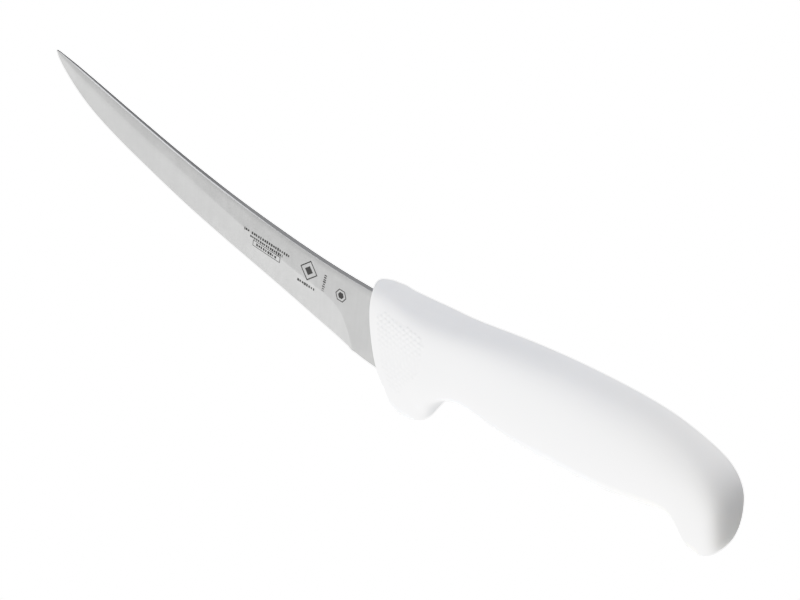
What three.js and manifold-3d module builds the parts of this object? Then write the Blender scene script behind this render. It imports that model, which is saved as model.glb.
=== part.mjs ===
// A 152 mm (6 inch) curved boning knife with a moulded butcher's handle.
//
// Two solids: a ground steel blade with a hidden tang, and a handle moulded
// over the tang, held by two plugs of its own plastic through the tang holes.
//
// Frame, in millimetres: +Z is the spine side, X runs along the handle with
// the tip towards -X and the butt towards +X, and y = 0 is the mid plane.
// The shapes are drawn from the junction, where the spine meets the handle's
// front face, and the whole knife is then moved so that the origin is mid
// length, on the mid plane, level with the lowest point of the guard.

import * as THREE from "three";
import { mergeVertices } from "three/addons/utils/BufferGeometryUtils.js";
import Module from "manifold-3d";

const wasm = await Module();
wasm.setup();

// ---------------------------------------------------------------- dimensions

// Points are [x, z] throughout.

// Blade
const TIP = [-149.35, 31.25];
const BLADE_HALF_THICKNESS = 1.05; // of the heel
const PLUNGE_X = -10; // the grind ends here, at full thickness down to the edge
const RUN_OUT_LENGTH = 1.6; // over which the grind fades towards the plunge
const BEVEL_HEIGHT = 0.75; // secondary bevel along the edge
const MAX_BEVEL_SHARE = 0.4; // of the ground height, where the blade is narrow
const BEVEL_HALF_THICKNESS = 0.25; // at the top of the secondary bevel
const MAX_BEVEL_THICKNESS_SHARE = 0.55; // of the spine's, where that is thin

// Ground blade from tip to plunge:
// [x, spine z, edge z, depth of the flat below the spine, half thickness at the spine]
const BLADE = [
  [-149, 31.35, 30.1, 0.15, 0.28],
  [-148.4, 31.3, 29.1, 0.4, 0.33],
  [-147.4, 31.08, 27.95, 0.7, 0.38],
  [-146, 30.74, 26.5, 1, 0.43],
  [-144, 30.23, 24.7, 1.4, 0.5],
  [-141.5, 29.59, 22.65, 1.8, 0.57],
  [-138.5, 28.81, 20.4, 2.26, 0.64],
  [-135, 27.85, 18.11, 2.56, 0.7],
  [-130, 26.44, 15.32, 2.86, 0.78],
  [-125, 24.98, 12.98, 3.16, 0.83],
  [-120, 23.54, 10.88, 3.41, 0.86],
  [-112, 21.22, 7.79, 3.81, 0.89],
  [-104, 18.94, 4.95, 4.06, 0.91],
  [-96, 16.76, 2.18, 4.31, 0.93],
  [-88, 14.68, -0.52, 4.66, 0.95],
  [-80, 12.71, -3.01, 5.16, 0.97],
  [-72, 10.86, -5.3, 5.71, 1],
  [-64, 9.14, -7.53, 6.36, 1.03],
  [-56, 7.54, -9.69, 7.16, 1.05],
  [-48, 6.04, -11.86, 7.96, 1.05],
  [-40, 4.67, -14.06, 8.66, 1.05],
  [-34, 3.74, -15.78, 9.11, 1.05],
  [-29, 3.03, -17.24, 9.46, 1.05],
  [-25, 2.52, -18.38, 9.81, 1.05],
  [-22, 2.17, -19.22, 10.26, 1.05],
  [-19.5, 1.89, -19.94, 11.01, 1.05],
  [-17.5, 1.68, -20.51, 12.06, 1.05],
  [-15.8, 1.52, -21.04, 13.51, 1.05],
  [-14.3, 1.39, -21.54, 15.36, 1.05],
  [-13, 1.28, -21.93, 17.26, 1.05],
  [-12, 1.2, -22.17, 19.01, 1.05],
  [-11.2, 1.14, -22.27, 20.61, 1.05],
  [-10.6, 1.1, -22.25, 21.96, 1.05],
];

// Unground heel from the plunge towards the handle: [spine point, bottom point]
const HEEL = [
  [[PLUNGE_X, 1.06], [PLUNGE_X, -22.06]],
  [[-8.9, 0.99], [-8.6, -22.38]],
  [[-7.4, 0.89], [-6.6, -22.9]],
  [[-5.9, 0.79], [-3.2, -23.5]],
  [[-4.6, 0.71], [1.2, -24.1]],
];

// The heel's last line, from top to bottom; it follows the handle's front face
const SHOULDER = [
  [-2.54, 0.6],
  [-0.84, -5.74],
  [0.85, -11.9],
  [2.57, -18.1],
  [4.37, -24.5],
];

// Tang
const TANG_HALF_THICKNESS = 0.9;
const TANG_ROOT_TOP = [-2.21, -1.4]; // a little inside the shoulder's outline
const TANG_ROOT_BOTTOM = [3.92, -23.5];
const TANG_END = [88, -7.45];
const HOLE_RADIUS = 3;
const HOLES = [
  [34, -7.6],
  [68, -7.4],
];

// Tang edges from the root to the rounded end: [x, top z, bottom z]
const TANG = [
  [12, -1.6, -21],
  [17, -1.7, -17.4],
  [23, -1.8, -15],
  [31, -1.9, -13.9],
  [48, -2, -13.4],
  [66, -2.1, -13],
  [78, -2.2, -12.8],
  [83, -2.6, -12.3],
  [86, -3.7, -11.2],
  [87.6, -5.4, -9.5],
];

// Cavity moulded around the tang
const CLEARANCE = 0.3;
const CAVITY_FRONT_X = -6; // ahead of the handle, so the cavity opens there
const CAVITY_BOTTOM_X = 4.09; // the sloping lower edge turns level here
// Its rounded end: [x beyond the tang's end, z from the end's middle]
const CAVITY_END = [
  [0.2, 1.15],
  [0.4, 0],
  [0.2, -1.15],
];

// Pins are cut longer than the part they cross
const HOLE_HALF_LENGTH = 3;
const PLUG_HALF_LENGTH = 4;
const PIN_SEGMENTS = 28;

// Handle ribs: [top x, top z, bottom x, bottom z, half width, section exponent
// above the middle, forward bow, section exponent below the middle].
// Each rib is a superellipse between its top and its bottom point, and the
// ribs fan out round the guard and the butt hook.
const RIBS = [
  [-3.5, 5.38, 5.22, -26.42, 6.16, 2.36, 0.09, 2.61],
  [-1.88, 5.37, 8.8, -29.66, 8.43, 2.94, 0.36, 2.07],
  [0.51, 5.15, 12.09, -33.09, 8.7, 3.56, 0.61, 2.09],
  [2.96, 5.34, 14.04, -34.34, 9.25, 3.3, 0.76, 2.27],
  [5.92, 4.86, 19.67, -33.42, 9.43, 3.38, 0.64, 2.29],
  [9.89, 4.5, 22.76, -29.94, 9.71, 3.55, 0.39, 2.34],
  [14.81, 4.22, 24.88, -25.25, 10.12, 3.55, 0.16, 3.43],
  [20.75, 4.24, 28.1, -21.67, 10.31, 3.38, -0.02, 3.66],
  [29.07, 4.56, 35.21, -19.53, 9.9, 3.2, 0, 2.9],
  [40.06, 5.69, 43.56, -20.7, 9.9, 3, 0, 2.5],
  [52.03, 6.92, 53.99, -22.91, 10.2, 2.75, 0, 2.3],
  [66, 7.69, 67, -23.92, 10.7, 2.5, 0, 2.2],
  [80, 7.78, 80, -23.94, 11, 2.35, 0, 2.2],
  [93.02, 7.35, 91.53, -23.4, 11.1, 2.2, 0, 2.2],
  [104.08, 5.92, 100.82, -21.96, 11.1, 2.1, 0, 2.25],
  [113.6, 3.19, 107.38, -20.51, 11, 2.1, 0, 2.3],
  [121.64, -0.84, 111.95, -20.35, 10.85, 2.35, 0, 2.3],
  [127.05, -7.02, 114.57, -22.27, 10.6, 2.65, 0, 2.3],
  [128.97, -13.58, 116.35, -24.25, 10.05, 2.7, 0, 2.25],
  [129.36, -19.14, 117.7, -26, 8.9, 2.6, 0, 2.2],
  [128.6, -23.8, 119.35, -27.3, 7, 2.45, 0, 2.1],
  [126.45, -27.05, 121.05, -28.4, 4.5, 2.25, 0, 2.05],
  [123.9, -28.95, 122.8, -29.1, 0.6, 2, 0, 2],
];
const STEPS_PER_RIB = 4;
const POINTS_AROUND = 40; // an even number

// The junction in the knife's frame
const BUTT_X = Math.max(...RIBS.map(([topX]) => topX));
const GUARD_Z = Math.min(...RIBS.map(([, , , bottomZ]) => bottomZ));
const JUNCTION_X = -(TIP[0] + BUTT_X) / 2;
const JUNCTION_Z = -GUARD_Z;

// ------------------------------------------------------------------ geometry

// Natural cubic spline through equally spaced rows, column by column. Returns
// a function of the row number, which may be fractional.
function splineRows(rows) {
  const last = rows.length - 1;
  const second = rows.map((row) => row.map(() => 0)); // second derivatives
  for (let column = 0; column < rows[0].length; column++) {
    // Tridiagonal solve: eliminate downwards, then substitute back.
    const upper = [0];
    const value = [0];
    for (let i = 1; i < last; i++) {
      const bend = 6 * (rows[i + 1][column] - 2 * rows[i][column] + rows[i - 1][column]);
      const pivot = 4 - upper[i - 1];
      upper[i] = 1 / pivot;
      value[i] = (bend - value[i - 1]) / pivot;
    }
    for (let i = last - 1; i > 0; i--) {
      second[i][column] = value[i] - upper[i] * second[i + 1][column];
    }
  }
  return (position) => {
    const i = Math.min(last - 1, Math.floor(position));
    const after = position - i;
    const before = 1 - after;
    return rows[i].map(
      (start, column) =>
        start * before +
        rows[i + 1][column] * after +
        ((before ** 3 - before) * second[i][column]) / 6 +
        ((after ** 3 - after) * second[i + 1][column]) / 6,
    );
  };
}

// Joins rings of equal, even length. Each ring starts at the top at y = 0, and
// its points j and count - j mirror each other across y = 0. With capped, both
// end rings are filled straight across y; otherwise they must be single points.
function loft(rings, { capped }) {
  const count = rings[0].length;
  const index = [];
  for (let i = 0; i + 1 < rings.length; i++) {
    const ring = i * count;
    const nextRing = ring + count;
    for (let j = 0; j < count; j++) {
      const k = (j + 1) % count;
      index.push(ring + j, ring + k, nextRing + k);
      index.push(ring + j, nextRing + k, nextRing + j);
    }
  }
  const fillAcross = (ring, flip) => {
    for (let j = 0; j < count / 2; j++) {
      const upper = ring + j;
      const lower = upper + 1;
      const upperMirror = ring + ((count - j) % count);
      const lowerMirror = ring + count - j - 1;
      const quad = [upper, lowerMirror, lower, upper, upperMirror, lowerMirror];
      index.push(...(flip ? quad.toReversed() : quad));
    }
  };
  if (capped) {
    fillAcross(0, false);
    fillAcross((rings.length - 1) * count, true);
  }
  const geometry = new THREE.BufferGeometry();
  geometry.setAttribute("position", new THREE.Float32BufferAttribute(rings.flat(2), 3));
  geometry.setIndex(index);
  return geometry;
}

// Shares vertices, drops collapsed triangles and turns the faces outwards,
// as Manifold needs.
function toSolid(source) {
  source.deleteAttribute("normal");
  source.deleteAttribute("uv");
  const { attributes, index } = mergeVertices(source, 1e-4);
  const triangles = [];
  let volume = 0; // six times the signed volume
  for (let i = 0; i < index.count; i += 3) {
    const corners = [index.getX(i), index.getX(i + 1), index.getX(i + 2)];
    if (new Set(corners).size < 3) continue;
    triangles.push(...corners);
    const [a, b, c] = corners.map((corner) =>
      new THREE.Vector3().fromBufferAttribute(attributes.position, corner),
    );
    volume += a.dot(b.cross(c));
  }
  if (volume < 0) triangles.reverse();
  return new wasm.Manifold(
    new wasm.Mesh({
      numProp: 3,
      vertProperties: attributes.position.array,
      triVerts: new Uint32Array(triangles),
    }),
  );
}

function toGeometry(solid) {
  const { vertProperties, triVerts } = solid.getMesh();
  const geometry = new THREE.BufferGeometry();
  geometry.setAttribute("position", new THREE.Float32BufferAttribute(vertProperties, 3));
  geometry.setIndex(Array.from(triVerts));
  geometry.computeVertexNormals();
  return geometry;
}

// Cuts a pin along y at each tang hole out of a solid.
function subtractPins(solid, radius, halfLength) {
  return HOLES.reduce((rest, [x, z]) => {
    const pin = new THREE.CylinderGeometry(radius, radius, 2 * halfLength, PIN_SEGMENTS);
    return rest.subtract(toSolid(pin.translate(x, 0, z)));
  }, solid);
}

// --------------------------------------------------------------------- blade

// As many points as the shoulder has, evenly spaced from top to bottom.
function straightLine([topX, topZ], [bottomX, bottomZ]) {
  return SHOULDER.map((_, i) => {
    const fraction = i / (SHOULDER.length - 1);
    return [topX + fraction * (bottomX - topX), topZ + fraction * (bottomZ - topZ)];
  });
}

// Down the +y side, along the flat's line and the bevel's top, to the edge,
// and back up the -y side.
function bladeRing(line, halfThickness, bevelTop, [edgeX, edgeZ]) {
  const plusSide = [...line.map(([x, z]) => [x, halfThickness, z]), bevelTop];
  const minusSide = plusSide.toReversed().map(([x, y, z]) => [x, -y, z]);
  const [topX, topZ] = line[0];
  return [[topX, 0, topZ], ...plusSide, [edgeX, 0, edgeZ], ...minusSide];
}

// A ring with flat sides all the way down its line.
function plateRing(line, halfThickness) {
  const bottom = line.at(-1);
  return bladeRing(line, halfThickness, [bottom[0], halfThickness, bottom[1]], bottom);
}

const pointRing = (point) => plateRing(straightLine(point, point), 0);

function groundRing([x, spine, edge, depth, half]) {
  const flatBottom = spine - depth;
  const height = Math.min(BEVEL_HEIGHT, MAX_BEVEL_SHARE * (flatBottom - edge));
  const runOut = Math.max(0, 1 - (PLUNGE_X - x) / RUN_OUT_LENGTH);
  const groundHalf = Math.min(BEVEL_HALF_THICKNESS, MAX_BEVEL_THICKNESS_SHARE * half);
  const bevelHalf = groundHalf * (1 - runOut) + half * runOut;
  const line = straightLine([x, spine], [x, flatBottom]);
  return bladeRing(line, half, [x, bevelHalf, edge + height], [x, edge]);
}

function makeBlade() {
  const tangRoot = [TANG_ROOT_TOP, ...SHOULDER.slice(1, -1), TANG_ROOT_BOTTOM];
  const rings = [
    pointRing(TIP),
    ...BLADE.map(groundRing),
    ...HEEL.map(([top, bottom]) => plateRing(straightLine(top, bottom), BLADE_HALF_THICKNESS)),
    plateRing(SHOULDER, BLADE_HALF_THICKNESS),
    plateRing(tangRoot, TANG_HALF_THICKNESS),
    ...TANG.map(([x, top, bottom]) =>
      plateRing(straightLine([x, top], [x, bottom]), TANG_HALF_THICKNESS),
    ),
    pointRing(TANG_END),
  ];
  const blank = toSolid(loft(rings, { capped: false }));
  return toGeometry(subtractPins(blank, HOLE_RADIUS, HOLE_HALF_LENGTH));
}

// -------------------------------------------------------------------- handle

const signedPower = (value, exponent) => Math.sign(value) * Math.abs(value) ** exponent;

// One superellipse ring; its arguments are the columns of RIBS.
function ribRing([topX, topZ, bottomX, bottomZ, halfWidth, above, bow, below]) {
  const halfX = (topX - bottomX) / 2;
  const halfZ = (topZ - bottomZ) / 2;
  const halfHeight = Math.hypot(halfX, halfZ);
  return Array.from({ length: POINTS_AROUND }, (_, j) => {
    const angle = Math.PI / 2 - (2 * Math.PI * j) / POINTS_AROUND;
    const exponent = 2 / (Math.sin(angle) >= 0 ? above : below);
    const up = signedPower(Math.sin(angle), exponent);
    const across = signedPower(Math.cos(angle), exponent);
    // The bow is square to the rib, towards the tip.
    const bowed = (bow * (1 - up * up)) / halfHeight;
    const onMidPlane = j % (POINTS_AROUND / 2) === 0;
    return [
      (topX + bottomX) / 2 + halfX * up - halfZ * bowed,
      onMidPlane ? 0 : halfWidth * across,
      (topZ + bottomZ) / 2 + halfZ * up + halfX * bowed,
    ];
  });
}

function makeHandleBody() {
  const ribAt = splineRows(RIBS);
  const steps = (RIBS.length - 1) * STEPS_PER_RIB;
  const rings = Array.from({ length: steps + 1 }, (_, i) => ribRing(ribAt(i / STEPS_PER_RIB)));
  return toSolid(loft(rings, { capped: true }));
}

// The tang's outline, grown by the clearance and open at the front, less the
// two plugs that pass through the tang's holes.
function makeCavity() {
  const top = TANG_ROOT_TOP[1] + CLEARANCE;
  const bottom = TANG_ROOT_BOTTOM[1] - CLEARANCE;
  const outline = [
    [CAVITY_FRONT_X, top],
    ...TANG.map(([x, topZ]) => [x, topZ + CLEARANCE]),
    ...CAVITY_END.map(([x, z]) => [TANG_END[0] + x, TANG_END[1] + z]),
    ...TANG.map(([x, , bottomZ]) => [x, bottomZ - CLEARANCE]).reverse(),
    [CAVITY_BOTTOM_X, bottom],
    [CAVITY_FRONT_X, bottom],
  ];
  const shape = new THREE.Shape(outline.map(([x, z]) => new THREE.Vector2(x, z)));
  shape.closePath();
  const halfWidth = TANG_HALF_THICKNESS + CLEARANCE;
  const slab = new THREE.ExtrudeGeometry(shape, { depth: 2 * halfWidth, bevelEnabled: false })
    .rotateX(Math.PI / 2)
    .translate(0, halfWidth, 0);
  return subtractPins(toSolid(slab), HOLE_RADIUS - CLEARANCE, PLUG_HALF_LENGTH);
}

function makeHandle() {
  return toGeometry(makeHandleBody().subtract(makeCavity()));
}

// ------------------------------------------------------------------ assembly

const STEEL = { color: 0xc3c5c6, roughness: 0.38, metalness: 0.95 };
const WHITE_PLASTIC = { color: 0xf1f2f4, roughness: 0.45, metalness: 0 };

function piece(name, geometry, material) {
  const mesh = new THREE.Mesh(geometry, new THREE.MeshStandardMaterial(material));
  mesh.name = name;
  return mesh;
}

const knife = new THREE.Group();
knife.add(piece("blade", makeBlade(), STEEL), piece("handle", makeHandle(), WHITE_PLASTIC));
knife.position.set(JUNCTION_X, 0, JUNCTION_Z);

export default knife;
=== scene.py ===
"""A boning knife: a satin ground blade and a white moulded handle over a pale
studio table. The tip points to -x, the butt to +x, the edge faces down (-z)
and the knife's thickness runs along y. Its place comes from the CAD blade."""

import math

import bmesh
import bpy
import numpy as np
from mathutils import Matrix, Vector


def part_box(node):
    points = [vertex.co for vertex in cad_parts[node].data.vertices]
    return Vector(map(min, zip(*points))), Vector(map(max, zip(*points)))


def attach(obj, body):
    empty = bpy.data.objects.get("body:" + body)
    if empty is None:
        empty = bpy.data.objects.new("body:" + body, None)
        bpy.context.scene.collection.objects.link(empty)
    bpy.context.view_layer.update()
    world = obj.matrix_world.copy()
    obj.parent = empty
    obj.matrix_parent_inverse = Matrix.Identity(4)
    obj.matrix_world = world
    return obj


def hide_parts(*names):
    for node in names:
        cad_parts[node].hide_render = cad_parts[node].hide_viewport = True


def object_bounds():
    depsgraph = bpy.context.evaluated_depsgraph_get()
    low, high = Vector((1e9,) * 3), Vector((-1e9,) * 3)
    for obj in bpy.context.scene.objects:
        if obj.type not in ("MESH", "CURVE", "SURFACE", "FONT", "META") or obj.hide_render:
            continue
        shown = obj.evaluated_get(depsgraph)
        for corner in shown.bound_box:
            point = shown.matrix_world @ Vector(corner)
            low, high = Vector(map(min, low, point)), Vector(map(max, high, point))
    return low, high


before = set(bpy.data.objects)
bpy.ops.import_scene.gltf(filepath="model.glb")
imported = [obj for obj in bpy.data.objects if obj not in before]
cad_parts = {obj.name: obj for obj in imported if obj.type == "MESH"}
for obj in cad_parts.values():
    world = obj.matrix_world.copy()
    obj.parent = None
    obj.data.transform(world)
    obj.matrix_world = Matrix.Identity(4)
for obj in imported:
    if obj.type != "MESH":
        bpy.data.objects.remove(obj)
CAD_LOW, CAD_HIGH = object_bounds()
MM = 0.001

# ------------------------------------------------------------------ the frame
# Shapes are written in millimetres from the junction, where the spine meets
# the handle's front face. The CAD blade's box gives the junction's place.
TIP_X, TIP_Z, SPINE_TOP_Z = -149.35, 31.25, 31.35
blade_low, blade_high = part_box("blade")
JUNCTION_X = blade_low.x / MM - TIP_X
JUNCTION_Z = blade_high.z / MM - SPINE_TOP_Z

# ------------------------------------------------------------- blade and tang
# Stations from tip to heel:
# x, spine z, edge z, depth of the flat, half thickness at the spine
BLADE = np.array([
    [-149.0, 31.35, 30.1, 0.15, 0.28],
    [-148.4, 31.3, 29.1, 0.4, 0.33],
    [-147.4, 31.145, 27.95, 0.7, 0.38],
    [-146.0, 30.81, 26.5, 1.0, 0.43],
    [-144.0, 30.32, 24.7, 1.4, 0.5],
    [-141.5, 29.68, 22.65, 1.8, 0.57],
    [-138.5, 28.9, 20.4, 2.26, 0.64],
    [-135.0, 27.94, 18.11, 2.56, 0.66],
    [-130.0, 26.53, 15.32, 2.86, 0.72],
    [-125.0, 25.07, 12.98, 3.16, 0.77],
    [-120.0, 23.63, 10.88, 3.41, 0.8],
    [-112.0, 21.34, 7.79, 3.81, 0.83],
    [-104.0, 19.106, 4.95, 4.06, 0.85],
    [-96.0, 16.904, 2.18, 4.31, 0.88],
    [-88.0, 14.792, -0.52, 4.66, 0.92],
    [-80.0, 12.8, -3.01, 5.16, 0.97],
    [-72.0, 10.93, -5.3, 5.71, 1.0],
    [-64.0, 9.18, -7.53, 6.36, 1.03],
    [-56.0, 7.58, -9.69, 7.16, 1.05],
    [-48.0, 6.08, -11.86, 7.96, 1.05],
    [-40.0, 4.71, -14.06, 8.66, 1.05],
    [-34.0, 3.78, -15.78, 9.11, 1.05],
    [-29.0, 3.07, -17.24, 9.46, 1.05],
    [-25.0, 2.56, -18.38, 9.81, 1.05],
    [-22.0, 2.21, -19.22, 10.26, 1.05],
    [-19.5, 1.93, -19.94, 11.01, 1.05],
    [-17.5, 1.72, -20.51, 12.06, 1.05],
    [-15.8, 1.56, -21.04, 13.51, 1.05],
    [-14.3, 1.43, -21.54, 15.36, 1.05],
    [-13.0, 1.32, -21.93, 17.26, 1.05],
    [-12.0, 1.24, -22.04, 19.01, 1.05],
    [-11.2, 1.18, -22.13, 20.61, 1.05],
    [-10.6, 1.14, -22.2, 21.96, 1.05],
    [-10.0, 1.1, -22.26, 23.3, 1.05],
])
# Slanted sections from the blade to the handle: top x, top z, bottom x, bottom z
HEEL = np.array([
    [-10.0, 1.1, -10.0, -22.26],
    [-8.9, 1.02, -8.6, -22.44],
    [-7.4, 0.89, -6.6, -22.9],
    [-5.9, 0.79, -3.2, -23.5],
    [-4.6, 0.71, 1.2, -24.1],
    [-2.54, 0.6, 4.37, -24.5],
])
# x, top z, bottom z
TANG = [
    (12, -1.6, -21.0), (17, -1.7, -17.4), (23, -1.8, -15.0), (31, -1.9, -13.9),
    (48, -2.0, -13.4), (66, -2.1, -13.0), (78, -2.2, -12.8), (83, -2.6, -12.3),
    (86, -3.7, -11.2), (87.6, -5.4, -9.5),
]
TANG_START_X, TANG_START_TOP, TANG_START_BOTTOM = 9.0, -1.5, -22.0
TANG_END_X, TANG_END_Z = 88.0, -7.45
HALF_STOCK, HALF_TANG = 1.05, 0.9
HOLES, HOLE_RADIUS = [(34.0, -7.6), (68.0, -7.4)], 3.0  # centres as x, z

# Rows of a half section: four round the spine's broken corner, then the flat,
# the grind, the middle of the bevel and the edge.
FLAT_ROWS = 10
# How far down the grind each of its rows lies, closest together at the top.
GRIND_STEPS = (0.02, 0.05, 0.09, 0.14, 0.2, 0.27, 0.34, 0.42, 0.5, 0.58, 0.66,
               0.74, 0.82, 0.9, 0.96, 1.0)
GRIND_ROW = 3 + FLAT_ROWS
BEVEL_ROW = GRIND_ROW + len(GRIND_STEPS)
SECTION_ROWS = BEVEL_ROW + 3
HEEL_BREAK = 0.12  # the corner broken off the unground heel
GRIND_END_X = -13.4  # the edge blunts from here to the last station

# --------------------------------------------------------------------- handle
# Ribs from the front face to the butt: top x, top z, bottom x, bottom z, half
# width, exponent above the middle, bow towards the tip, exponent below
RIBS = np.array([
    [-3.5, 5.38, 5.22, -26.42, 6.16, 2.36, 0.09, 2.61],
    [-1.88, 5.37, 8.8, -29.66, 8.43, 2.94, 0.36, 2.07],
    [0.51, 5.15, 12.09, -33.09, 8.7, 3.56, 0.61, 2.09],
    [2.96, 5.34, 14.04, -34.34, 9.25, 3.3, 0.76, 2.27],
    [5.92, 4.86, 19.67, -33.42, 9.43, 3.38, 0.64, 2.29],
    [9.89, 4.5, 22.76, -29.94, 9.71, 3.55, 0.39, 2.34],
    [14.81, 4.22, 24.88, -25.25, 10.12, 3.55, 0.16, 3.43],
    [20.75, 4.24, 28.1, -21.67, 10.31, 3.38, -0.02, 3.66],
    [29.07, 4.56, 35.21, -19.53, 9.9, 3.2, 0.0, 2.9],
    [40.06, 5.69, 43.56, -20.7, 9.9, 3.0, 0.0, 2.5],
    [52.03, 6.92, 53.99, -22.91, 10.2, 2.75, 0.0, 2.3],
    [66.0, 7.69, 67.0, -23.92, 10.7, 2.5, 0.0, 2.2],
    [80.0, 7.78, 80.0, -23.94, 11.0, 2.35, 0.0, 2.2],
    [93.02, 7.35, 91.53, -23.4, 11.1, 2.2, 0.0, 2.2],
    [104.08, 5.92, 100.82, -21.96, 11.1, 2.1, 0.0, 2.25],
    [113.6, 3.19, 107.38, -20.51, 11.0, 2.1, 0.0, 2.3],
    [121.64, -0.84, 111.95, -20.35, 10.85, 2.35, 0.0, 2.3],
    [127.05, -7.02, 114.57, -22.27, 10.6, 2.65, 0.0, 2.3],
    [128.97, -13.58, 116.35, -24.25, 10.05, 2.7, 0.0, 2.25],
    [129.36, -19.14, 117.7, -26.0, 8.9, 2.6, 0.0, 2.2],
    [128.6, -23.8, 119.35, -27.3, 7.0, 2.45, 0.0, 2.1],
    [126.45, -27.05, 121.05, -28.4, 4.5, 2.25, 0.0, 2.05],
    [123.9, -28.95, 122.8, -29.1, 0.6, 2.0, 0.0, 2.0],
])
# Outline of the pebbled finger panel: x, z
PANEL = [
    (3.3, -0.6), (6.0, 0.2), (9.6, 0.3), (15.3, 0.1), (22.0, -0.7), (22.9, -3.3),
    (22.9, -7.4), (22.8, -12.4), (20.5, -15.9), (17.3, -20.3), (15.0, -23.8),
    (12.4, -23.3), (9.7, -19.9), (7.2, -15.0), (5.2, -9.6), (3.9, -4.7),
]
# The pebbles lie on a triangular grid, turned a little and jittered.
PEBBLE_PITCH, PEBBLE_RADIUS, PEBBLE_HEIGHT = 1.72, 0.74, 0.26
PEBBLE_ROW_PITCH = PEBBLE_PITCH * math.sqrt(3) / 2
PEBBLE_TURN, PEBBLE_JITTER = math.radians(-12), 0.16
# The mouth round the blade and the cavity round the tang.
MOUTH_EXPONENT, MOUTH_GAP = 14.0, 0.03
LIP_HEIGHT, LIP_WIDTH = 0.014, 0.3  # height as a share of half a rib
CAVITY_GAP, CAVITY_END_GAP = 0.05, 0.1
CAVITY_MIDDLE, CAVITY_REACH = -12.2, 10.9  # z range where the mouth narrows

WHITE = 1.6  # strength of the table and of the backdrop


# ---------------------------------------------------------------------- maths
def spline(rows, at):
    """Natural cubic spline through equally spaced rows, at every value of at."""
    count = len(rows)
    system, right_side = np.eye(count), np.zeros_like(rows)
    for i in range(1, count - 1):
        system[i, i - 1 : i + 2] = 1, 4, 1
        right_side[i] = 6 * (rows[i + 1] - 2 * rows[i] + rows[i - 1])
    bend = np.linalg.solve(system, right_side)
    i = np.clip(np.floor(at).astype(int), 0, count - 2)
    after = (at - i)[:, None]
    before = 1 - after
    return (
        rows[i] * before
        + rows[i + 1] * after
        + (before**3 - before) * bend[i] / 6
        + (after**3 - after) * bend[i + 1] / 6
    )


def pchip(x, y, at):
    """Monotone cubic interpolation, which never overshoots its points."""
    gap = np.diff(x)
    slope = np.diff(y) / gap
    tangent = np.zeros_like(y)
    for i in range(1, len(x) - 1):
        if slope[i - 1] * slope[i] > 0:
            before, after = 2 * gap[i] + gap[i - 1], gap[i] + 2 * gap[i - 1]
            tangent[i] = (before + after) / (before / slope[i - 1] + after / slope[i])
    tangent[0], tangent[-1] = slope[0], slope[-1]
    i = np.clip(np.searchsorted(x, at, side="right") - 1, 0, len(x) - 2)
    t = (at - x[i]) / gap[i]
    return (
        (1 + 2 * t) * (1 - t) ** 2 * y[i]
        + t * (1 - t) ** 2 * gap[i] * tangent[i]
        + t * t * (3 - 2 * t) * y[i + 1]
        + t * t * (t - 1) * gap[i] * tangent[i + 1]
    )


def pchip_table(x, table, at):
    """Interpolates every column of table."""
    return np.array([pchip(x, column, at) for column in table.T]).T


def power(value, exponent):
    """A sine or cosine bent to a superellipse of the given exponent."""
    return np.sign(value) * np.abs(value) ** (2.0 / exponent)


def smooth(start, end, x):
    t = np.clip((x - start) / (end - start), 0, 1)
    return t * t * (3 - 2 * t)


def lerp(start, end, share):
    return start * (1 - share) + end * share


def turn_points(count):
    """Angles of count points round a full turn."""
    return np.linspace(0, 2 * math.pi, count, endpoint=False)


class Shell:
    """Vertices and faces of one piece, in junction millimetres."""

    def __init__(self):
        self.points, self.faces, self.count = [], [], 0

    def add(self, points, faces):
        base = self.count
        self.points.append(points)
        self.count += len(points)
        self.faces += [tuple(base + v for v in face) for face in faces]

    def add_rings(self, rings, start_cap=False, end_cap=False, flip=False):
        """Joins rings of equal length. Caps are strips across mirrored points."""
        size = len(rings[0])
        faces = []
        for i in range(len(rings) - 1):
            for j in range(size):
                a, b = i * size + j, i * size + (j + 1) % size
                faces.append((a, b, b + size, a + size))

        def cap(first, turned):
            for j in range(size // 2):
                face = (
                    first + j,
                    first + (size - j) % size,
                    first + (size - j - 1) % size,
                    first + j + 1,
                )
                face = tuple(dict.fromkeys(face))
                faces.append(face[::-1] if turned else face)

        if start_cap:
            cap(0, False)
        if end_cap:
            cap((len(rings) - 1) * size, True)
        self.add(np.vstack(rings), [face[::-1] for face in faces] if flip else faces)

    def make(self, name):
        """Places the shell in the CAD frame, in metres, as a smooth object."""
        placed = (np.vstack(self.points) + [JUNCTION_X, 0.0, JUNCTION_Z]) * MM
        mesh = bpy.data.meshes.new(name)
        mesh.from_pydata(placed.tolist(), [], self.faces)
        mesh.validate()
        mesh.polygons.foreach_set("use_smooth", [True] * len(mesh.polygons))
        mesh.update()
        obj = bpy.data.objects.new(name, mesh)
        bpy.context.scene.collection.objects.link(obj)
        return obj


def add_layer(obj, name, values):
    """Stores one number per vertex for the materials to read."""
    layer = obj.data.attributes.new(name, "FLOAT", "POINT")
    layer.data.foreach_set("value", values.astype(np.float32))


# --------------------------------------------------------------------- handle
def rib(at):
    """Ribs at each station: centre, half chord, normal towards the tip, half
    width, exponent above, bow and exponent below."""
    values = spline(RIBS, at)
    top, bottom = values[:, 0:2], values[:, 2:4]
    centre, half = (top + bottom) / 2, (top - bottom) / 2
    length = np.linalg.norm(half, axis=1, keepdims=True)
    forward = np.c_[-half[:, 1], half[:, 0]] / length
    return centre, half, forward, *values[:, 4:].T


def face_points(height, y):
    """Points on the front face, at height -1 to 1 along its rib."""
    centre, half, forward, _, _, bow, _ = rib(np.array([0.0]))
    xz = centre + half * height[:, None]
    xz = xz + forward * (bow * (1 - height * height))[:, None]
    return np.c_[xz[:, 0], y, xz[:, 1]]


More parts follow.
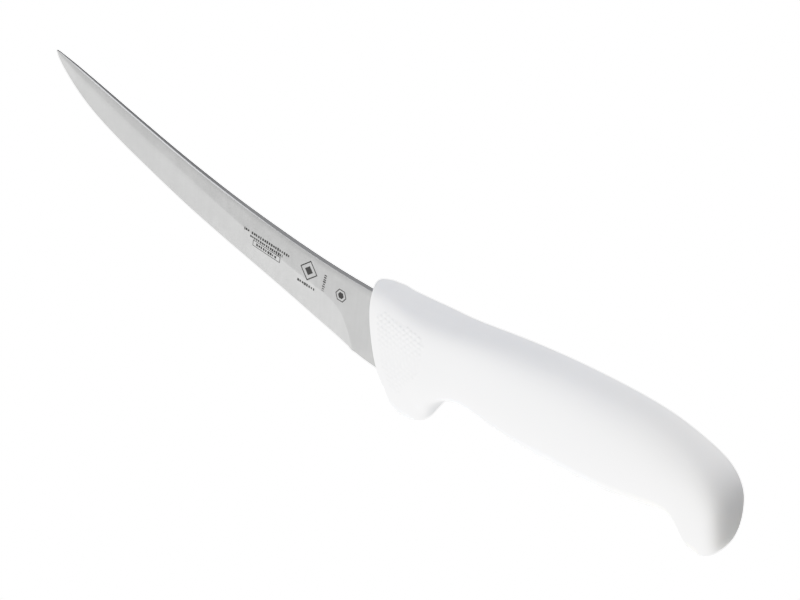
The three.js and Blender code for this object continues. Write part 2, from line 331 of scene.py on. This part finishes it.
def face_height(z):
    """Height along the front face's rib at junction z."""
    heights = np.linspace(-1, 1, 801)
    points = face_points(heights, np.zeros_like(heights))
    return float(np.interp(z, points[:, 2], heights))


def inside_panel(x, z):
    """Which points lie within the panel's outline."""
    result = np.zeros(x.shape, bool)
    for (x1, z1), (x2, z2) in zip(PANEL, PANEL[-1:] + PANEL[:-1]):
        crosses = (z1 > z) != (z2 > z)
        result ^= crosses & (x < (x2 - x1) * (z - z1) / (z2 - z1) + x1)
    return result


def pebbles(x, z):
    """Height of the pebbles at junction x and z."""
    cosine, sine = math.cos(PEBBLE_TURN), math.sin(PEBBLE_TURN)
    along = (x * cosine + z * sine) / PEBBLE_PITCH
    rows_up = (-x * sine + z * cosine) / PEBBLE_ROW_PITCH
    height = np.zeros_like(x)
    for step in (-1, 0, 1):
        row = np.round(rows_up) + step
        shift = 0.5 * (np.abs(row) % 2)
        column = np.round(along - shift) + shift
        grid_x, grid_z = column * PEBBLE_PITCH, row * PEBBLE_ROW_PITCH
        # a repeatable number from 0 to 1 for each pebble
        chance = np.sin(row * 12.9898 + column * 78.233) * 4375.85
        chance -= np.floor(chance)
        drift = chance * 2 * math.pi
        pebble_x = grid_x * cosine - grid_z * sine + PEBBLE_JITTER * np.cos(drift)
        pebble_z = grid_x * sine + grid_z * cosine + PEBBLE_JITTER * np.sin(drift)
        radius = np.hypot(x - pebble_x, z - pebble_z) / PEBBLE_RADIUS
        square = radius * radius
        dome = np.maximum(1 - square, 0) ** 1.5 * (1 + 1.3 * square)
        dome = dome * (0.7 + 0.45 * np.abs(2 * chance - 1))
        keep = inside_panel(pebble_x, pebble_z)
        height = np.maximum(height, PEBBLE_HEIGHT * dome * keep)
    return height


def handle_skin():
    """The outer skin as a grid of rings from the front face to the butt, the angle and rib
    height of its points, and how hollow the panel is, which sets the painted shade between the
    pebbles."""
    last = len(RIBS) - 1
    stations = np.r_[
        np.linspace(0, 2, 14, endpoint=False),
        np.linspace(2, 7.4, 112, endpoint=False),  # the panel
        np.linspace(7.4, 20, 130, endpoint=False),
        20 + (last - 20) * np.sin(np.linspace(0, math.pi / 2, 16)),
    ]
    # Points round a rib start at the top, and lie closer together on the
    # sides that carry the panel.
    turn = turn_points(320)
    angle = math.pi / 2 - (turn + 0.16 * np.sin(2 * turn))
    centre, half, forward, width, above, bow, below = rib(stations)
    upper = np.sin(angle)[None, :] >= 0
    exponent = np.where(upper, above[:, None], below[:, None])
    height = power(np.sin(angle)[None, :], exponent)
    bowed = bow[:, None] * (1 - height * height)
    x = centre[:, :1] + half[:, :1] * height + forward[:, :1] * bowed
    z = centre[:, 1:] + half[:, 1:] * height + forward[:, 1:] * bowed
    y = width[:, None] * power(np.cos(angle)[None, :], exponent)
    y[:, 0] = y[:, len(turn) // 2] = 0
    grid = np.stack([x, y, z], axis=2)

    # The pebbles rise along the outward normals.
    around = np.roll(grid, -1, 1) - np.roll(grid, 1, 1)
    normal = np.cross(np.gradient(grid, axis=0), around)
    normal /= np.linalg.norm(normal, axis=2, keepdims=True) + 1e-12
    sideways = smooth(0.35, 0.75, np.abs(normal[:, :, 1]))
    relief = pebbles(x, z) * sideways
    grid += normal * relief[:, :, None]
    # painted shade mask: highest in the hollows between the pebbles, lower on the pebbles, 0
    # off the panel
    hollow = inside_panel(x, z) * sideways * (1 - relief / PEBBLE_HEIGHT)
    return grid, angle, height, hollow


def mouth_rings(rim, rim_height, angle):
    """From the rim across the front face to the mouth the blade comes out of,
    then along the cavity round the tang."""
    up = power(np.sin(angle), MOUTH_EXPONENT)
    side = power(np.cos(angle), MOUTH_EXPONENT)

    def mouth(top, bottom, half_width):
        return (top + bottom) / 2 + (top - bottom) / 2 * up, half_width * side

    top = face_height(HEEL[-1, 1] + MOUTH_GAP)
    bottom = face_height(HEEL[-1, 3] - MOUTH_GAP)
    lip_height, lip_y = mouth(top + LIP_HEIGHT, bottom - LIP_HEIGHT, HALF_STOCK + LIP_WIDTH)
    inner_height, inner_y = mouth(top, bottom, HALF_STOCK + MOUTH_GAP)
    rings = [rim]
    for share in (0.06, 0.2, 0.4, 0.6, 0.8, 0.94, 1.0):
        rings.append(
            face_points(lerp(rim_height, lip_height, share), lerp(rim[:, 1], lip_y, share))
        )
    # depth behind the face, and share of the way from lip to inner mouth
    for depth, share in ((0.08, 0.55), (0.2, 0.88), (0.34, 1.0), (1.2, 1.0), (4.0, 1.0)):
        ring = face_points(
            lerp(lip_height, inner_height, share), lerp(lip_y, inner_y, share)
        )
        ring[:, 0] += depth
        rings.append(ring)

    cavity_y = (HALF_TANG + CAVITY_GAP) * side
    z = CAVITY_MIDDLE + CAVITY_REACH * up
    order = np.argsort(rings[-1][:, 2])
    deepest = rings[-1][order]
    rings.append(np.c_[np.interp(z, deepest[:, 2], deepest[:, 0]), cavity_y, z])
    for x, top, bottom in TANG[1:]:
        z = (top + bottom) / 2 + (top - bottom + 2 * CAVITY_GAP) / 2 * up
        rings.append(np.c_[np.full(len(up), float(x)), cavity_y, z])
    tail = rings[-1].copy()
    tail[:, 0] = TANG_END_X + CAVITY_END_GAP
    tail[:, 2] = TANG_END_Z + (tail[:, 2] - TANG_END_Z) * 0.5
    rings.append(tail)
    return rings


def merge(obj):
    """Welds the skin to the front face and turns all faces outward."""
    bm = bmesh.new()
    bm.from_mesh(obj.data)
    bmesh.ops.remove_doubles(bm, verts=bm.verts, dist=1e-6)
    bmesh.ops.dissolve_degenerate(bm, edges=bm.edges, dist=1e-8)
    bmesh.ops.recalc_face_normals(bm, faces=bm.faces)
    bm.to_mesh(obj.data)
    bm.free()
    obj.data.update()


def make_handle():
    grid, angle, height, hollow = handle_skin()
    shell = Shell()
    shell.add_rings(list(grid), end_cap=True)
    shell.add_rings(mouth_rings(grid[0], height[0], angle), end_cap=True, flip=True)
    # Two plugs of plastic pass through the tang's holes.
    turn, radius = turn_points(32), HOLE_RADIUS - CAVITY_GAP
    for x, z in HOLES:
        plug = [
            np.c_[x + radius * np.cos(turn), np.full(32, y), z + radius * np.sin(turn)]
            for y in (-1.2, 0.0, 1.2)
        ]
        shell.add_rings(plug, start_cap=True, end_cap=True)
    obj = shell.make("handle_moulded")
    # the painted shade of the pebbles' hollows, stored for the material
    shade = np.zeros(len(obj.data.vertices))
    shade[: hollow.size] = hollow.ravel()
    add_layer(obj, "hollow", shade)
    merge(obj)
    return obj


# ---------------------------------------------------------------------- blade
def side_rows(x, spine, edge, depth, half, thin, bevel, blunt):
    """Half section from spine to edge, as (half thickness, z). thin is the
    half thickness at the foot of the grind, bevel the height of the edge's
    bevel, and blunt goes from 0 at a sharp edge to 1 at the unground heel."""
    corner = min(0.11 + 0.17 * float(smooth(-42, -66, x)), 0.42 * half)
    rows = [
        (0.0, spine + 0.015),
        (half - corner, spine),
        (half, spine - corner),
        (half, spine - corner - 0.015),
    ]
    low = spine - max(depth, 1.5 * corner)
    for share in np.linspace(0, 1, FLAT_ROWS + 1)[1:]:
        rows.append((half, lerp(spine - corner, low, share)))
    foot = edge + bevel * (1 - blunt) + HEEL_BREAK * blunt
    for share in GRIND_STEPS:
        # a very slight hollow, as a wheel leaves it
        hollow = 0.03 * math.sin(math.pi * share) * min(1, max(low - edge, 0) / 8)
        rows.append(
            (lerp(half, thin, share) - hollow * (1 - blunt), lerp(low, foot, share))
        )
    rows.append(
        (lerp(thin * 0.5, half - HEEL_BREAK, blunt), lerp(edge + bevel * 0.5, edge, blunt))
    )
    rows.append((0.0, edge))
    return np.array(rows)


def mirror(values):
    """Carries one side's values round to the other side of a ring."""
    return np.r_[values, values[1:-1][::-1]]


def grind_amount(x, z, line):
    """0 above the grind line and 1 below: crisp near the heel, and softer and
    softer towards the tip."""
    blur = 0.3 + 3.6 * float(smooth(-52, -100, x))
    return smooth(-0.35 * blur, 0.65 * blur, line - z)


def painted_reflection_amount(x, z, spine):
    """Painted reflection as a factor on the steel's colour: darker on the flat just under the
    spine.
    """
    distal = float(smooth(-45, -95, x))
    painted_reflection = 1.0 - (0.16 - 0.08 * distal) * (1 - smooth(0.0, 2.2, spine - z - 0.2))
    # painted reflection: towards the tip the spine is darker, and the broken corner under it
    # brighter, as a painted highlight
    painted_reflection[:3] = 1.0
    painted_reflection[:2] -= 0.3 * distal
    painted_reflection[2] += 0.3 * distal
    return painted_reflection


def mark_sharp(mesh, stations, ring_size, ring_points):
    """Sharpens the lines along the blade at the spine's corner, the grind and
    the bevel, and every edge of the tang."""
    ends = np.zeros(len(mesh.edges) * 2, int)
    mesh.edges.foreach_get("vertices", ends)
    a, b = ends.reshape(-1, 2).T
    place = a % ring_size
    row = np.where(place < SECTION_ROWS, place, ring_size - place)
    ring = np.minimum(a, b) // ring_size
    x = stations[np.clip(ring - 1, 0, len(stations) - 1)]
    grind = (row == GRIND_ROW) & (x > -80) & (ring < len(stations))
    keep = (row == 1) | (row == 2) | (row >= BEVEL_ROW) | grind
    on_tang = (a >= ring_points) | (b >= ring_points)
    sharp = ((place == b % ring_size) & keep) | on_tang
    attribute = mesh.attributes.get("sharp_edge") or mesh.attributes.new(
        "sharp_edge", "BOOLEAN", "EDGE"
    )
    attribute.data.foreach_set("value", sharp)


def tang_plate():
    """Points and faces of the tang, a flat plate with two round holes."""
    top = [(TANG_START_X, TANG_START_TOP)] + [(x, high) for x, high, _ in TANG]
    bottom = [(TANG_START_X, TANG_START_BOTTOM)] + [(x, low) for x, _, low in TANG]
    loops = [top + [(TANG_END_X, TANG_END_Z)] + bottom[::-1]]
    for x, z in HOLES:
        loops.append([
            (x + HOLE_RADIUS * math.cos(a), z + HOLE_RADIUS * math.sin(a))
            for a in turn_points(40)
        ])
    bm = bmesh.new()
    edges = []
    for loop in loops:
        verts = [bm.verts.new((x, -HALF_TANG, z)) for x, z in loop]
        for i, vert in enumerate(verts):
            edges.append(bm.edges.new((vert, verts[(i + 1) % len(verts)])))
    bmesh.ops.triangle_fill(bm, edges=edges, use_beauty=True)
    extruded = bmesh.ops.extrude_face_region(bm, geom=list(bm.faces))
    moved = [v for v in extruded["geom"] if isinstance(v, bmesh.types.BMVert)]
    bmesh.ops.translate(bm, verts=moved, vec=(0, 2 * HALF_TANG, 0))
    bmesh.ops.recalc_face_normals(bm, faces=bm.faces)
    bm.verts.index_update()
    points = np.array([v.co[:] for v in bm.verts])
    faces = [tuple(v.index for v in f.verts) for f in bm.faces]
    bm.free()
    return points, faces


def make_blade():
    heel_x = BLADE[-1, 0]
    stations = np.r_[
        np.linspace(BLADE[0, 0], -140, 30, endpoint=False),
        np.linspace(-140, -24, 230, endpoint=False),
        np.linspace(-24, heel_x, 80),
    ]
    rings, ground, painted_reflection = [], [], []

    def add_ring(x, rows, spine, line=None):
        """line is the height of the grind line, if the ring has one."""
        side = np.c_[x, rows[:, 0], rows[:, 1]]
        rings.append(np.vstack([side, side[1:-1][::-1] * np.array([1, -1, 1])]))
        middle, z = float(np.mean(x)), rows[:, 1]
        grind = np.zeros(SECTION_ROWS) if line is None else grind_amount(middle, z, line)
        ground.append(mirror(grind))
        painted_reflection.append(mirror(painted_reflection_amount(middle, z, spine)))

    tip_rows = np.tile([0.0, TIP_Z], (SECTION_ROWS, 1))
    add_ring(np.full(SECTION_ROWS, TIP_X), tip_rows, spine=31.3, line=TIP_Z)
    table = pchip_table(BLADE[:, 0], BLADE[:, 1:], stations)
    for x, (spine, edge, depth, half) in zip(stations, table):
        bevel = min(0.55, 0.4 * max(spine - depth - edge, 0.0))
        blunt = float(smooth(GRIND_END_X, heel_x, x))
        thin = lerp(min(0.22, 0.55 * half), half, blunt)
        rows = side_rows(x, spine, edge, depth, half, thin, bevel, blunt)
        add_ring(np.full(SECTION_ROWS, x), rows, spine, line=spine - depth)

    last = len(HEEL) - 1
    heel_at = np.linspace(0, last, 24)[1:]
    heel = pchip_table(np.arange(last + 1.0), HEEL, heel_at)
    for share, (top_x, top, bottom_x, bottom) in zip(heel_at / last, heel):
        rows = side_rows(
            x=-5.0, spine=top, edge=bottom, depth=top - bottom - 0.3,
            half=HALF_STOCK, thin=HALF_STOCK, bevel=0.0, blunt=1.0,
        )
        down = np.clip((top - rows[:, 1]) / (top - bottom), 0, 1)
        # the shoulder bows forward of the straight line from spine to bottom
        bow = -0.058 * 4 * down * (1 - down) * share
        add_ring(top_x + down * (bottom_x - top_x) + bow, rows, top)
    # and on into the handle's mouth
    rings.append(rings[-1] + np.array([4.5, 0, 0]))
    ground.append(ground[-1])
    painted_reflection.append(painted_reflection[-1])

    shell = Shell()
    shell.add_rings(rings, end_cap=True)
    ring_points = shell.count
    shell.add(*tang_plate())
    obj = shell.make("blade_ground")
    tang_values = np.zeros(shell.count - ring_points)
    # the steel reads the grind and the painted reflection that scales its colour
    for name, values in (("ground", ground), ("painted_reflection", painted_reflection)):
        add_layer(obj, name, np.r_[np.concatenate(values), tang_values])
    mark_sharp(obj.data, stations, len(rings[0]), ring_points)
    return obj


# ------------------------------------------------------------------ materials
class Nodes:
    """Short names for building the node tree of a material or world."""

    def __init__(self, owner, output="OutputMaterial"):
        owner.use_nodes = True
        self.tree = owner.node_tree
        self.tree.nodes.clear()
        self.out = self.new(output)

    def new(self, kind, inputs=None, **settings):
        """Adds a node. inputs maps socket names or places to values or links."""
        node = self.tree.nodes.new("ShaderNode" + kind)
        for key, value in settings.items():
            setattr(node, key, value)
        for key, value in (inputs or {}).items():
            self.put(node.inputs[key], value)
        return node

    def put(self, socket, value):
        if isinstance(value, bpy.types.NodeSocket):
            self.tree.links.new(value, socket)
        elif value is not None:
            socket.default_value = value

    def finish(self, shader):
        self.put(self.out.inputs[0], shader.outputs[0])

    def math(self, operation, *values):
        return self.new("Math", dict(enumerate(values)), operation=operation).outputs[0]

    def add(self, a, b):
        return self.math("ADD", a, b)

    def sub(self, a, b):
        return self.math("SUBTRACT", a, b)

    def mul(self, a, b):
        return self.math("MULTIPLY", a, b)

    def larger(self, a, b):
        return self.math("MAXIMUM", a, b)

    def size(self, a):
        return self.math("ABSOLUTE", a)

    def mix(self, factor, a, b):
        """Mixes two colours."""
        return self.new("Mix", {0: factor, 6: a, 7: b}, data_type="RGBA").outputs[2]

    def blend(self, factor, a, b):
        """Mixes two numbers."""
        return self.new("Mix", {0: factor, 2: a, 3: b}, data_type="FLOAT").outputs[0]

    def noise(self, vector, scale=1.0, detail=2.0, rough=0.5):
        inputs = {"Vector": vector, "Scale": scale, "Detail": detail, "Roughness": rough}
        return self.new("TexNoise", inputs).outputs[0]

    def stretch(self, vector, scale, turn=0.0):
        inputs = {"Vector": vector, "Rotation": (0, turn, 0), "Scale": scale}
        return self.new("Mapping", inputs).outputs[0]

    def ramp(self, value, low, high, start=0.0, end=1.0, kind="SMOOTHSTEP"):
        """Goes from start to end as value goes from low to high."""
        inputs = {"Value": value, "From Min": low, "From Max": high,
                  "To Min": start, "To Max": end}
        return self.new("MapRange", inputs, interpolation_type=kind).outputs[0]

    def bump(self, height, strength, distance, normal=None):
        inputs = {"Strength": strength, "Distance": distance, "Height": height,
                  "Normal": normal}
        return self.new("Bump", inputs).outputs[0]

    def split(self, vector):
        return self.new("SeparateXYZ", {0: vector}).outputs

    def where(self):
        return self.new("TexCoord").outputs["Object"]

    def layer(self, name):
        return self.new("Attribute", attribute_name=name).outputs["Fac"]


def plastic():
    material = bpy.data.materials.new("handle_white_polypropylene")
    nodes = Nodes(material)
    where = nodes.where()
    cloud = nodes.noise(where, scale=38.0, detail=3.0)
    flow = nodes.noise(nodes.stretch(where, scale=(12.0, 70.0, 70.0)), detail=4.0, rough=0.6)
    grain = nodes.noise(where, scale=2600.0, detail=3.0, rough=0.6)
    pores = nodes.noise(where, scale=900.0)
    tone = nodes.add(nodes.mul(cloud, 0.6), nodes.mul(flow, 0.4))
    colour = nodes.mix(
        nodes.ramp(tone, low=0.35, high=0.65), (0.885, 0.892, 0.905, 1), (0.915, 0.92, 0.93, 1)
    )
    # painted light: warmer towards the butt, standing in for the warmer light falling on that
    # end
    butt = nodes.ramp(nodes.split(where)[0], low=0.082, high=0.128)
    colour = nodes.mix(butt, colour, (0.908, 0.903, 0.886, 1))
    # painted shade: the hollows between the pebbles are darkened in the colour
    shade = nodes.mul(nodes.layer("hollow"), 0.42)
    colour = nodes.mix(shade, colour, (0.77, 0.772, 0.78, 1))
    rough = nodes.blend(nodes.ramp(pores, low=0.3, high=0.7), 0.4, 0.5)
    fine = nodes.bump(grain, strength=0.25, distance=0.00002)
    nodes.finish(nodes.new("BsdfPrincipled", {
        "Base Color": colour,
        "Roughness": rough,
        "IOR": 1.49,
        "Subsurface Weight": 0.12,
        "Subsurface Radius": (0.0022, 0.0020, 0.0018),
        "Subsurface Scale": 1.0,
        "Normal": nodes.bump(pores, strength=0.18, distance=0.00004, normal=fine),
    }))
    return material


MARK_TURN = math.radians(-6.8)
MARK_BLUR = 0.04  # half width of a mark's soft outline


def mark_mask(nodes, where):
    """Etched marks near the heel: plain bars, a plain diamond and a plain
    hexagon, with no lettering. Returns 1 on a mark. Sizes are millimetres."""
    sub, mul, larger, size = nodes.sub, nodes.mul, nodes.larger, nodes.size
    axes = nodes.split(where)
    junction_x = sub(mul(axes[0], 1000.0), JUNCTION_X)
    junction_z = sub(mul(axes[2], 1000.0), JUNCTION_Z)
    cosine, sine = math.cos(MARK_TURN), math.sin(MARK_TURN)
    shapes = []

    def local(x, z):
        """Distances along and up from a mark's centre, in its turned frame."""
        dx, dz = sub(junction_x, x), sub(junction_z, z)
        along = nodes.add(mul(dx, cosine), mul(dz, sine))
        return along, sub(mul(dz, cosine), mul(dx, sine))

    def solid(distance):
        """Marks the places where distance is below zero."""
        shapes.append(
            nodes.ramp(distance, low=-MARK_BLUR, high=MARK_BLUR, start=1.0, end=0.0)
        )

    def outline(distance, outer, inner):
        solid(larger(sub(distance, outer), sub(inner, distance)))

    def box(along, up, centre, half_width, half_height):
        return larger(
            sub(size(sub(along, centre[0])), half_width),
            sub(size(sub(up, centre[1])), half_height),
        )

    def chance(cell, seed):
        """A repeatable number from 0 to 1 for each cell of a row."""
        wave = nodes.math("SINE", nodes.math("MULTIPLY_ADD", cell, 12.9898, seed))
        return nodes.math("FRACT", mul(wave, 4375.85))

    def dashes(along, up, centre, half_width, pitch, fill, seed, half_height=0.5):
        """A row of short plain bars, uneven in length, with a few gaps."""
        cells = nodes.math("DIVIDE", along, pitch)
        cell = nodes.math("FLOOR", cells)
        width = nodes.math("MULTIPLY_ADD", chance(cell, seed), 0.3, fill - 0.02)
        present = nodes.math("GREATER_THAN", chance(cell, seed + 2.9), 0.07)
        width = mul(width, present)
        cut = mul(sub(nodes.math("FRACT", cells), width), pitch)
        tall = nodes.math("MULTIPLY_ADD", chance(cell, seed + 5.3), 0.5, 0.62)
        solid(larger(box(along, up, centre, half_width, mul(tall, half_height)), cut))

    # two rows of bars over a framed third row
    along, up = local(-49.3, -1.55)
    dashes(along, up, (0.0, 1.62), half_width=9.9, pitch=0.94, fill=0.56, seed=1.7)
    dashes(along, up, (0.1, 0.2), half_width=7.2, pitch=0.88, fill=0.58, seed=4.1)
    framed = (0.5, -1.62)
    outer = box(along, up, framed, half_width=6.1, half_height=1.12)
    inner = box(along, up, framed, half_width=5.85, half_height=0.87)
    solid(larger(outer, mul(inner, -1.0)))
    dashes(along, up, framed, half_width=4.6, pitch=1.02, fill=0.55, seed=7.7)

    # a diamond, outlined, with a solid centre, over a row of bars
    along, up = local(-30.75, -2.55)
    diamond = nodes.add(size(along), size(up))
    outline(diamond, outer=3.7, inner=3.15)
    solid(sub(diamond, 1.7))
    dashes(along, up, (-0.2, -5.35), half_width=3.7, pitch=0.98, fill=0.56, seed=9.2)

    # a short upright row of bars
    along, up = local(-24.15, -4.1)
    dashes(up, along, (0.0, 0.0), half_width=3.0, pitch=0.8, fill=0.5, seed=3.3,
           half_height=0.58)

    # a hexagon, outlined, with a solid centre
    along, up = local(-17.0, -5.6)
    along, up = size(along), size(up)
    hexagon = larger(nodes.add(mul(along, 0.866), mul(up, 0.5)), up)
    outline(hexagon, outer=2.0, inner=1.68)
    solid(sub(hexagon, 1.05))

    mask = shapes[0]
    for shape in shapes[1:]:
        mask = larger(mask, shape)
    # only the side facing -y carries marks
    normal = nodes.split(nodes.new("NewGeometry").outputs["Normal"])
    return mul(mask, nodes.ramp(mul(normal[1], -1.0), low=0.8, high=0.9))


def steel():
    material = bpy.data.materials.new("blade_satin_steel")
    nodes = Nodes(material)
    where = nodes.where()
    # grinding lines run across the blade, a little off the vertical
    lean = 0.12
    lines = nodes.noise(
        nodes.stretch(where, scale=(7000.0, 500.0, 220.0), turn=lean), detail=4.0, rough=0.65
    )
    streak = nodes.noise(
        nodes.stretch(where, scale=(900.0, 300.0, 45.0), turn=lean), detail=3.0, rough=0.6
    )
    cloud = nodes.noise(where, scale=90.0, detail=4.0, rough=0.55)
    mottle = nodes.noise(where, scale=520.0, detail=3.0, rough=0.6)
    ground = nodes.layer("ground")
    tone = nodes.add(nodes.mul(streak, 0.35), nodes.mul(cloud, 0.65))
    colour = nodes.mix(
        nodes.ramp(tone, low=0.3, high=0.7), (0.465, 0.466, 0.466, 1), (0.494, 0.495, 0.495, 1)
    )
    # the ground face is a little brighter than the flat, and the second layer scales the
    # colour with painted reflection: darker under and along the spine, brighter on its broken
    # corner
    lift = nodes.mul(nodes.blend(ground, 1.0, 1.075), nodes.layer("painted_reflection"))
    bright = nodes.new("VectorMath", {0: colour, "Scale": lift}, operation="SCALE")
    marks = mark_mask(nodes, where)
    rough = nodes.blend(nodes.ramp(mottle, low=0.3, high=0.7), 0.31, 0.36)
    rough = nodes.add(rough, nodes.mul(nodes.sub(lines, 0.5), 0.1))
    rough = nodes.add(rough, nodes.mul(ground, 0.02))
    fine = nodes.bump(lines, strength=0.15, distance=0.000008)
    nodes.finish(nodes.new("BsdfPrincipled", {
        "Base Color": nodes.mix(marks, bright.outputs[0], (0.03, 0.029, 0.028, 1)),
        "Metallic": nodes.blend(marks, 1.0, 0.35),
        "Roughness": nodes.blend(marks, rough, 0.62),
        "Normal": nodes.bump(mottle, strength=0.05, distance=0.00003, normal=fine),
    }))
    return material


# --------------------------------------------------------------- table and air
def add_floor():
    """A pale table, so evenly lit from within that it shows no shadow."""
    z = CAD_LOW.z - 0.045
    half = 6.0
    mesh = bpy.data.meshes.new("studio_floor")
    corners = [(-half, -half, z), (half, -half, z), (half, half, z), (-half, half, z)]
    mesh.from_pydata(corners, [], [(0, 1, 2, 3)])
    floor = bpy.data.objects.new("studio_floor", mesh)
    bpy.context.scene.collection.objects.link(floor)
    material = bpy.data.materials.new("pale_lit_table")
    nodes = Nodes(material)
    nodes.finish(nodes.new("Emission", {"Color": (1.0, 1.0, 1.0, 1), "Strength": WHITE}))
    mesh.materials.append(material)
    # the world lights the knife in the table's place
    floor.visible_diffuse = False
    floor.visible_glossy = False
    floor.visible_transmission = False
    floor.visible_shadow = False


# The soft light round the knife, as broad glows: direction x, y, z, strength.
# A higher sharpness makes every glow narrower.
GLOW_SHARPNESS = 10.0
GLOWS = [
    (0.049, -0.125, 0.991, 0.244), (-0.208, 0.103, 0.973, 0.226),
    (-0.182, -0.300, 0.936, 0.459), (0.011, -0.534, 0.845, 1.720),
    (0.376, 0.682, 0.627, 1.880), (-0.100, -0.880, 0.464, 0.261),
    (0.262, 0.882, 0.391, 0.128), (-0.262, 0.917, 0.300, 0.380),
    (0.071, 0.985, 0.155, 0.751), (-0.244, -0.966, 0.082, 1.680),
    (-0.474, 0.878, 0.064, 0.477), (-0.794, -0.571, -0.209, 0.099),
    (-0.900, -0.253, -0.355, 1.628), (-0.454, 0.697, -0.555, 0.927),
    (0.305, -0.717, -0.627, 2.009), (0.033, -0.634, -0.773, 3.061),
    (0.292, -0.411, -0.864, 0.336), (-0.151, 0.317, -0.936, 1.383),
    (-0.217, -0.081, -0.973, 1.451), (0.061, 0.120, -0.991, 0.684),
]


def add_world():
    """The glows light the knife, while the camera sees plain white."""
    world = bpy.data.worlds.new("studio_air")
    bpy.context.scene.world = world
    nodes = Nodes(world, "OutputWorld")
    direction = nodes.new("TexCoord").outputs["Generated"]
    level = None
    for *towards, strength in GLOWS:
        dot = nodes.new("VectorMath", {0: direction, 1: towards}, operation="DOT_PRODUCT")
        falloff = nodes.math(
            "MULTIPLY_ADD", dot.outputs["Value"], GLOW_SHARPNESS, -GLOW_SHARPNESS
        )
        glow = nodes.mul(nodes.math("EXPONENT", falloff), strength)
        level = glow if level is None else nodes.add(level, glow)
    # slightly cooler from above
    height = nodes.split(direction)[2]
    cool = nodes.ramp(height, low=-0.2, high=0.6, kind="LINEAR")
    colour = nodes.mix(cool, (1.0, 1.0, 0.995, 1), (0.975, 0.98, 1.01, 1))
    air = nodes.new("Background", {"Color": colour, "Strength": level})
    seen = nodes.new("Background", {"Color": (1.0, 1.0, 1.0, 1), "Strength": WHITE})
    to_camera = nodes.new("LightPath").outputs["Is Camera Ray"]
    nodes.finish(
        nodes.new("MixShader", {0: to_camera, 1: air.outputs[0], 2: seen.outputs[0]})
    )


def add_softbox():
    """A weak area light above the knife, on its -y side."""
    light = bpy.data.lights.new("top_softbox", "AREA")
    light.shape = "RECTANGLE"
    light.size, light.size_y = 0.5, 0.35
    light.energy = 0.25
    centre = (CAD_LOW + CAD_HIGH) / 2
    position = (centre.x - 0.12, centre.y - 0.55, centre.z + 0.85)
    obj = bpy.data.objects.new("top_softbox", light)
    obj.location = position
    obj.rotation_mode = "QUATERNION"
    obj.rotation_quaternion = (centre - Vector(position)).to_track_quat("-Z", "Y")
    bpy.context.scene.collection.objects.link(obj)


# --------------------------------------------------------------------- camera
CAMERA_ANGLES = (36.3546, 27.4772, -7.3293)  # azimuth, elevation, roll in degrees
CAMERA_DISTANCE = 0.68847
CAMERA_TARGET = (  # near the junction
    (JUNCTION_X + 3.2) * MM,
    2.49 * MM,
    (JUNCTION_Z + 0.25) * MM,
)


def add_camera():
    """Looks at the heel of the knife from the butt side and above, with the
    knife leaning a little in the picture."""
    data = bpy.data.cameras.new("camera")
    data.sensor_width = 36.0
    data.lens = 101.4
    data.clip_start, data.clip_end = 0.01, 50.0
    camera = bpy.data.objects.new("camera", data)
    bpy.context.scene.collection.objects.link(camera)
    azimuth, elevation, roll = map(math.radians, CAMERA_ANGLES)
    back = Vector((
        math.sin(azimuth) * math.cos(elevation),
        -math.cos(azimuth) * math.cos(elevation),
        math.sin(elevation),
    ))
    right = Vector((0, 0, 1)).cross(back).normalized()
    up = back.cross(right)
    right, up = (
        right * math.cos(roll) - up * math.sin(roll),
        up * math.cos(roll) + right * math.sin(roll),
    )
    matrix = Matrix((right, up, back)).transposed().to_4x4()
    matrix.translation = Vector(CAMERA_TARGET) + back * CAMERA_DISTANCE
    camera.matrix_world = matrix
    bpy.context.scene.camera = camera


def soften_highlights(view):
    """A camera's shoulder: bright greys close up before the table's white."""
    view.use_curve_mapping = True
    curves = view.curve_mapping
    curves.white_level = (WHITE, WHITE, WHITE)
    curves.extend = "HORIZONTAL"
    # the response is straight up to the knee, then closes on knee + reach
    knee, reach = 0.66, 0.285
    points = [(level, level) for level in (0.2, 0.4, 0.6, knee)]
    for level in (0.72, 0.8, 0.9, 1.0, 1.12, 1.25, 1.38, 1.48):
        points.append((level, knee + reach * (1 - math.exp(-(level - knee) / reach))))
    curve = curves.curves[3]  # the combined curve
    while len(curve.points) > 2:
        curve.points.remove(curve.points[1])
    curve.points[0].location = (0, 0)
    curve.points[-1].location = (1, 1)
    for level, shown in points:
        curve.points.new(level / WHITE, shown)
    for point in curve.points:
        point.handle_type = "VECTOR"
    curves.update()


# --------------------------------------------------------------------- pieces
def register(obj, material, part):
    obj.data.materials.append(material)
    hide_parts(part)
    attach(obj, "root")


register(make_blade(), steel(), "blade")
register(make_handle(), plastic(), "handle")
add_floor()
add_world()
add_softbox()
add_camera()
view_settings = bpy.context.scene.view_settings
view_settings.view_transform = "Standard"
view_settings.look = "None"
soften_highlights(view_settings)

bpy.context.view_layer.update()
